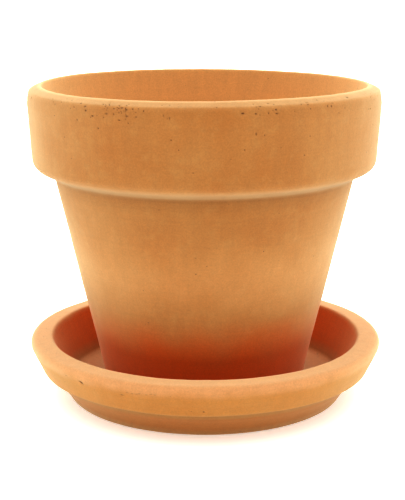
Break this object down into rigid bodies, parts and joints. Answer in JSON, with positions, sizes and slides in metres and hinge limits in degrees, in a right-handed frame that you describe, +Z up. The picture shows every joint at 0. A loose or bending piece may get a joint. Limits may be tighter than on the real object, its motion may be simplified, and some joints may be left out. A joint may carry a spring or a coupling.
{
  "type": "terracotta plant pot with saucer",
  "caption": "Tapered unglazed terracotta plant pot with a deep rolled rim band and a drainage hole, standing in a matching drip saucer that it lifts out of.",
  "frame": {"origin": "centre of the saucer's underside, on the surface that the saucer stands on", "axes": "+Z up along the axis on which the pot and the saucer were turned; X and Y level, with no front or back"},
  "size_m": [0.1636, 0.1636, 0.1449],
  "materials": {
    "saucer_clay": "unglazed, matt, fired clay",
    "pot_clay": "unglazed, matt, fired clay"
  },
  "bodies": {
    "saucer": {"saucer": "saucer_clay"},
    "pot": {"pot": "pot_clay"}
  },
  "joints": [
    {"name": "pot_lift", "type": "slide", "parent": "saucer", "child": "pot", "axis": [0, 0, 1], "range_m": [0, 0.08]}
  ]
}
